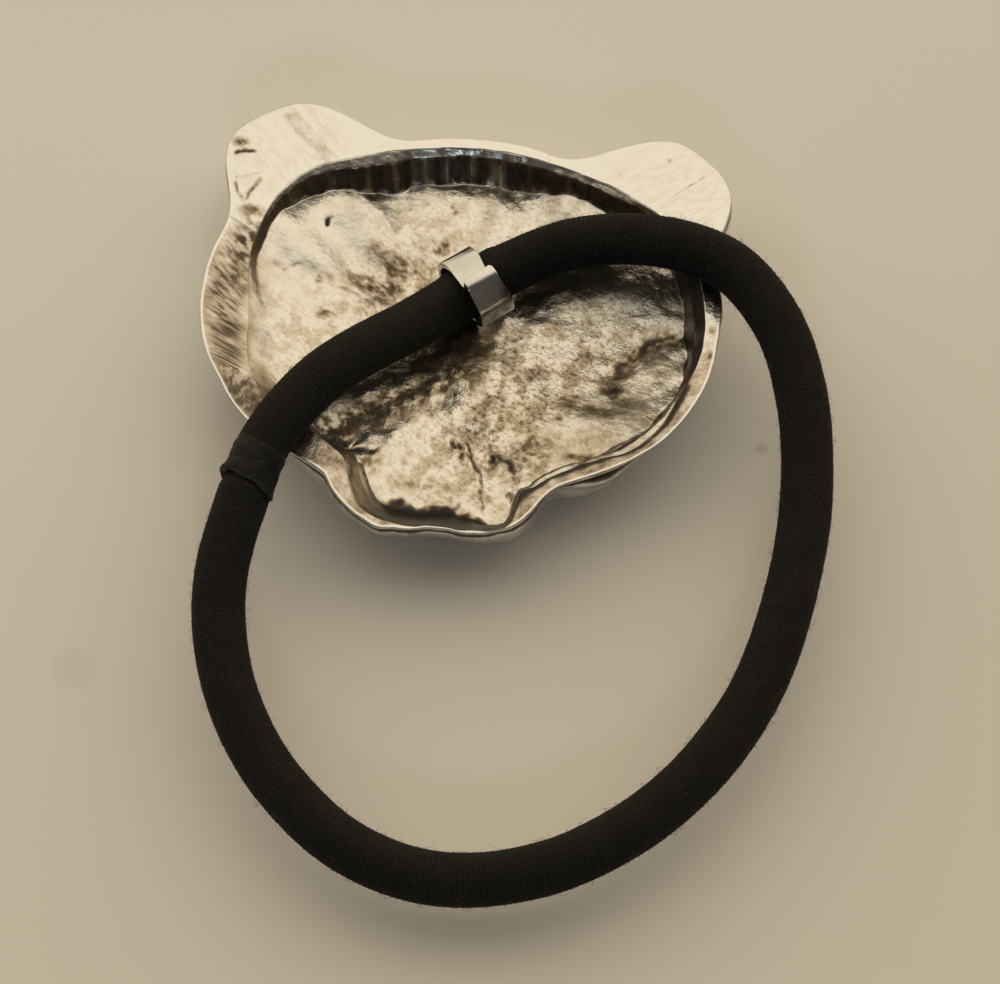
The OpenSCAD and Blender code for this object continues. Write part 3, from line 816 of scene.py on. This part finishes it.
class Surface:
    """A material with one principled shader, and short calls that add nodes to it."""

    def __init__(self, name, **constants):
        self.material = bpy.data.materials.new(name)
        self.material.use_nodes = True
        self.tree = self.material.node_tree
        self.shader = self.tree.nodes["Principled BSDF"]
        for key, value in constants.items():
            self.shader.inputs[key.replace("_", " ")].default_value = value

    def add(self, kind, settings=None, **inputs):
        node = self.tree.nodes.new("ShaderNode" + kind)
        for key, value in (settings or {}).items():
            setattr(node, key, value)
        for key, value in inputs.items():
            self.set(node, key.replace("_", " "), value)
        return node

    def set(self, node, key, value):
        socket = node.inputs[int(key)] if key.isdigit() else node.inputs[key]
        if isinstance(value, bpy.types.NodeSocket):
            self.tree.links.new(value, socket)
        else:
            socket.default_value = value

    def place(self, rotation=(0, 0, 0), scale=(1, 1, 1), of=None):
        mapping = self.add("Mapping", Vector=of or self.add("TexCoord").outputs["Object"])
        mapping.inputs["Rotation"].default_value = rotation
        mapping.inputs["Scale"].default_value = scale
        return mapping.outputs["Vector"]

    def noise(self, vector, scale, detail=2, roughness=0.5):
        node = self.add("TexNoise", Vector=vector, Scale=scale, Detail=detail, Roughness=roughness)
        return node.outputs["Fac"]

    def math(self, operation, a, b=0.0, clamp=False):
        node = self.add("Math", {"operation": operation, "use_clamp": clamp})
        self.set(node, "0", a)
        self.set(node, "1", b)
        return node.outputs[0]

    def plus(self, a, b, clamp=False):
        return self.math("ADD", a, b, clamp)

    def times(self, a, b, clamp=False):
        return self.math("MULTIPLY", a, b, clamp)

    def mix(self, a, b, share):
        """A number between a and b."""
        return self.plus(self.times(a, 1 - share), self.times(b, share))

    def ramp(self, value, low, high, to_low=0.0, to_high=1.0):
        node = self.add("MapRange", {"interpolation_type": "SMOOTHSTEP"}, Value=value)
        for key, number in (("From Min", low), ("From Max", high), ("To Min", to_low), ("To Max", to_high)):
            node.inputs[key].default_value = number
        return node.outputs["Result"]

    def blend(self, factor, a, b):
        node = self.add("Mix", {"data_type": "RGBA"})
        self.set(node, "0", factor)
        for key, value in (("6", a), ("7", b)):
            self.set(node, key, value if isinstance(value, bpy.types.NodeSocket) else (*value, 1.0))
        return node.outputs[2]

    def tint(self, value, *stops):
        """Colours at places from 0 to 1: each stop is its place and then red, green and blue."""
        node = self.add("ValToRGB", Fac=value)
        elements = node.color_ramp.elements
        while len(elements) < len(stops):
            elements.new(0.5)
        for element, (place, *colour) in zip(elements, stops):
            element.position, element.color = place, (*colour, 1)
        return node.outputs["Color"]

    def number(self, name, output="Fac"):
        """A named number of the mesh's points, or a named vector where output says so."""
        return self.add("Attribute", {"attribute_name": name, "attribute_type": "GEOMETRY"}).outputs[output]

    def bump(self, height, distance, strength=1.0, after=None):
        node = self.add("Bump", Height=height)
        node.inputs["Distance"].default_value = distance
        node.inputs["Strength"].default_value = strength
        if after is not None:
            self.set(node, "Normal", after)
        return node.outputs["Normal"]

    def out(self, **links):
        for key, socket in links.items():
            self.set(self.shader, key.replace("_", " "), socket)


def wear(obj, surface):
    obj.data.materials.clear()
    obj.data.materials.append(surface.material)


silver = Surface("antique_silver", Specular_IOR_Level=0.25)
plain = silver.place()
grain_mm = silver.number("grain", "Vector")
# The darkening attribute holds tarnish and painted shade together.
stain_and_shade_value = silver.number("stain_and_shade")
hollow_value = silver.number("hollow")
clouds = silver.noise(silver.place(scale=(620, 620, 620)), 1, 4, 0.6)
pits = silver.noise(silver.place(scale=(3.2, 2.0, 1), of=grain_mm), 1, 4, 0.68)
marks = silver.noise(silver.place(scale=(2.1, 0.8, 1), of=grain_mm), 1, 2, 0.55)
tiny = silver.noise(plain, 7000, 2, 0.6)
pitted = silver.times(silver.ramp(pits, 0.53, 0.36), silver.number("speckled"))
clouded = silver.times(silver.ramp(clouds, 0.56, 0.38), silver.number("speckled"))
marked = silver.times(silver.ramp(marks, 0.55, 0.40), silver.number("filed"))
ragged = silver.plus(stain_and_shade_value, silver.times(silver.math("SUBTRACT", silver.mix(pits, clouds, 0.4), 0.5), 0.9))
held = silver.times(silver.ramp(ragged, 0.0, 0.9), silver.ramp(stain_and_shade_value, 0.0, 0.3))
flecks = silver.plus(silver.times(pitted, 0.34), silver.times(clouded, 0.40))
tarnish_and_shade = silver.plus(held, silver.plus(flecks, silver.times(marked, 0.40)), clamp=True)
rim_tint = silver.tint(
    tarnish_and_shade, (0, 0.72, 0.72, 0.70), (0.3, 0.46, 0.395, 0.315), (0.6, 0.16, 0.13, 0.095), (1, 0.028, 0.026, 0.025)
)
floor_tint = silver.tint(
    tarnish_and_shade, (0, 0.70, 0.685, 0.635), (0.3, 0.45, 0.39, 0.30), (0.6, 0.18, 0.14, 0.09), (1, 0.028, 0.025, 0.022)
)
coarse_bump = silver.bump(clouds, 0.00012, 0.6, silver.bump(marked, 0.00003, 0.6))
silver.out(
    Base_Color=silver.blend(hollow_value, rim_tint, floor_tint),
    Metallic=silver.ramp(tarnish_and_shade, 0.45, 1.0, 1.0, 0.25),
    Roughness=silver.plus(silver.ramp(tarnish_and_shade, 0, 0.8, 0.17, 0.34), silver.times(tiny, 0.06)),
    Normal=silver.bump(tiny, 0.00001, 0.5, silver.bump(pits, 0.00005, 0.7, coarse_bump)),
)
wear(charm, silver)

plate = Surface("bright_plate", Metallic=1.0)
scuffs = plate.noise(plate.place(rotation=(0.4, 0.3, 0.9), scale=(0.25, 1, 1)), 2600, 2, 0.5)
dents = plate.noise(plate.place(), 500, 2, 0.5)
plate.out(
    Base_Color=plate.blend(plate.ramp(dents, 0.35, 0.7), (0.58, 0.575, 0.555), (0.66, 0.655, 0.64)),
    Roughness=plate.ramp(scuffs, 0.35, 0.7, 0.10, 0.20),
    Normal=plate.bump(dents, 0.00004, 0.35, plate.bump(scuffs, 0.000006, 0.5)),
)
wear(clip, plate)

cover = Surface("knitted_cover", Roughness=0.9, Specular_IOR_Level=0.1, Sheen_Weight=0.02, Sheen_Roughness=0.5)
uv = cover.add("UVMap", {"uv_map": "UVMap"}).outputs["UV"]
split = cover.add("SeparateXYZ", Vector=uv)
along, around = split.outputs["X"], split.outputs["Y"]
STITCHES_ROUND = 36
phase = cover.plus(along, cover.times(around, 2.0))
rib = cover.math("ABSOLUTE", cover.math("COSINE", cover.times(phase, float(np.pi))))
stitch_turn = cover.plus(cover.times(around, float(TAU * STITCHES_ROUND)), cover.times(along, float(np.pi)))
stitch = cover.math("SINE", stitch_turn)
yarn = cover.noise(cover.place(), 5200, 3, 0.6)
tone = cover.noise(cover.place(), 420, 2, 0.5)
threads = cover.plus(cover.times(rib, 0.7), cover.times(stitch, 0.12))
# The ribs' grooves are painted darker than their crests, as painted shade; yarn and tone vary at random.
shade = cover.times(cover.ramp(rib, 0.1, 0.9, 0.6, 1.0), cover.ramp(yarn, 0.3, 0.75, 0.6, 1.2))
shade_and_tone = cover.times(shade, cover.ramp(tone, 0.3, 0.7, 0.75, 1.0), clamp=True)
cover.out(
    Base_Color=cover.blend(shade_and_tone, (0.0055, 0.0052, 0.005), (0.019, 0.0178, 0.016)),
    Normal=cover.bump(yarn, 0.00004, 0.8, cover.bump(threads, 0.00008, 0.6)),
)
wear(elastic, cover)

hairs = Surface("fuzz_fibre", Roughness=0.7, Specular_IOR_Level=0.3)
hairs.out(Base_Color=hairs.blend(hairs.noise(hairs.place(), 300, 1), (0.03, 0.026, 0.022), (0.09, 0.078, 0.064)))
wear(fuzz, hairs)

pressed = Surface("sealed_joint", Specular_IOR_Level=0.2)
ridges = pressed.noise(pressed.place(rotation=(0.2, 0.1, -1.1), scale=(3.0, 0.8, 1)), 1500, 3, 0.6)
lint = pressed.noise(pressed.place(), 4200, 2, 0.6)
pressed.out(
    Base_Color=pressed.blend(ridges, (0.003, 0.003, 0.0031), (0.013, 0.0123, 0.012)),
    Roughness=pressed.ramp(lint, 0.3, 0.7, 0.5, 0.75),
    Normal=pressed.bump(lint, 0.00003, 0.6, pressed.bump(ridges, 0.00008, 0.8)),
)
wear(joint, pressed)

# ---------------------------------------------------------------- floor, light

FLOOR_HALF = 1.5
floor_mesh = bpy.data.meshes.new("floor")
floor_corners = [(x * FLOOR_HALF, y * FLOOR_HALF, 0) for x, y in ((-1, -1), (1, -1), (1, 1), (-1, 1))]
floor_mesh.from_pydata(floor_corners, [], [(0, 1, 2, 3)])
floor = bpy.data.objects.new("floor", floor_mesh)
floor.location.z = -0.00002
bpy.context.scene.collection.objects.link(floor)
paper = Surface("pale_floor", Roughness=0.6, Specular_IOR_Level=0.25)
smudge = paper.noise(paper.place(), 18, 3, 0.6)
# Painted falloff of the light: the floor is painted lighter towards the far left and darker towards the near right.
split_floor = paper.add("SeparateXYZ", Vector=paper.place())
far_left = paper.math("SUBTRACT", split_floor.outputs["Y"], paper.times(split_floor.outputs["X"], 0.6))
lit_far_tone = paper.blend(smudge, (0.845, 0.82, 0.765), (0.865, 0.84, 0.785))
shaded_near_tone = paper.blend(smudge, (0.765, 0.722, 0.64), (0.785, 0.742, 0.66))
bare_with_falloff = paper.blend(paper.ramp(far_left, -0.07, 0.045), shaded_near_tone, lit_far_tone)
soiled = paper.ramp(paper.noise(paper.place(), 260, 2, 0.7), 0.755, 0.80, 0, 0.16)
# Two marks on the surface, in metres: x, y, outer and inner radius, and strength.
FLOOR_MARKS = [(-0.0247, -0.0292, 0.0021, 0.0012, 0.09), (0.0236, -0.0042, 0.0007, 0.0002, 0.3)]
for x, y, outer_r, inner_r, share in FLOOR_MARKS:
    from_mark = paper.add("VectorMath", {"operation": "DISTANCE"}, **{"0": paper.place(), "1": (x, y, 0)})
    soiled = paper.math("MAXIMUM", soiled, paper.ramp(from_mark.outputs["Value"], outer_r, inner_r, 0, share))
paper.out(Base_Color=paper.blend(soiled, bare_with_falloff, (0.30, 0.22, 0.13)))
wear(floor, paper)

world = bpy.data.worlds.new("studio")
bpy.context.scene.world = world
world.use_nodes = True
tree = world.node_tree
tree.nodes.clear()


def world_node(kind, **settings):
    node = tree.nodes.new("ShaderNode" + kind)
    for key, value in settings.items():
        setattr(node, key, value)
    return node


# A warm bright half of the sky behind the charm, and a dim half on the viewer's side: place from 0 to 1, and colour.
SKY = (
    (0.0, (0.075, 0.068, 0.058, 1)),
    (0.16, (0.19, 0.175, 0.15, 1)),
    (0.42, (0.86, 0.76, 0.60, 1)),
    (0.7, (0.98, 0.85, 0.65, 1)),
    (0.95, (0.86, 0.74, 0.56, 1)),
)
BRIGHT_SIDE = Vector((-0.10, 0.92, 0.38)).normalized()
SKY_STRENGTH = 1.25
BACKDROP = (0.55, 0.49, 0.38, 1)  # what the camera sees past the floor
direction = world_node("TexCoord")
toward = world_node("VectorMath", operation="DOT_PRODUCT")
tree.links.new(direction.outputs["Generated"], toward.inputs[0])
toward.inputs[1].default_value = BRIGHT_SIDE
ramp = world_node("ValToRGB")
tree.links.new(toward.outputs["Value"], ramp.inputs["Fac"])
stops = ramp.color_ramp.elements
stops[0].position, stops[1].position = SKY[0][0], SKY[-1][0]
for position, _ in SKY[1:-1]:
    stops.new(position)
for stop, (_, colour) in zip(stops, SKY):
    stop.color = colour
lit = world_node("Background")
lit.inputs["Strength"].default_value = SKY_STRENGTH
tree.links.new(ramp.outputs["Color"], lit.inputs["Color"])
seen = world_node("Background")
seen.inputs["Color"].default_value = BACKDROP
seen.inputs["Strength"].default_value = 1.0
ray = world_node("LightPath")
mix = world_node("MixShader")
tree.links.new(ray.outputs["Is Camera Ray"], mix.inputs[0])
tree.links.new(lit.outputs[0], mix.inputs[1])
tree.links.new(seen.outputs[0], mix.inputs[2])
output = world_node("OutputWorld")
tree.links.new(mix.outputs[0], output.inputs["Surface"])

# A small cool window on the viewer's side.
window_light = bpy.data.lights.new("window", "AREA")
window_light.shape = "DISK"
window_light.size = 0.10
window_light.energy = 0.3
window_light.color = (0.72, 0.86, 1.0)
window = bpy.data.objects.new("window", window_light)
bpy.context.scene.collection.objects.link(window)
WINDOW_AT = AIM + Vector((0.10, -0.80, 0.55)).normalized() * 0.8
window.location = WINDOW_AT
window.rotation_euler = (AIM - WINDOW_AT).to_track_quat("-Z", "Y").to_euler()

bpy.context.scene.view_settings.view_transform = "Standard"
bpy.context.scene.view_settings.look = "None"
bpy.context.scene.view_settings.exposure = 0
bpy.context.scene.view_settings.gamma = 1
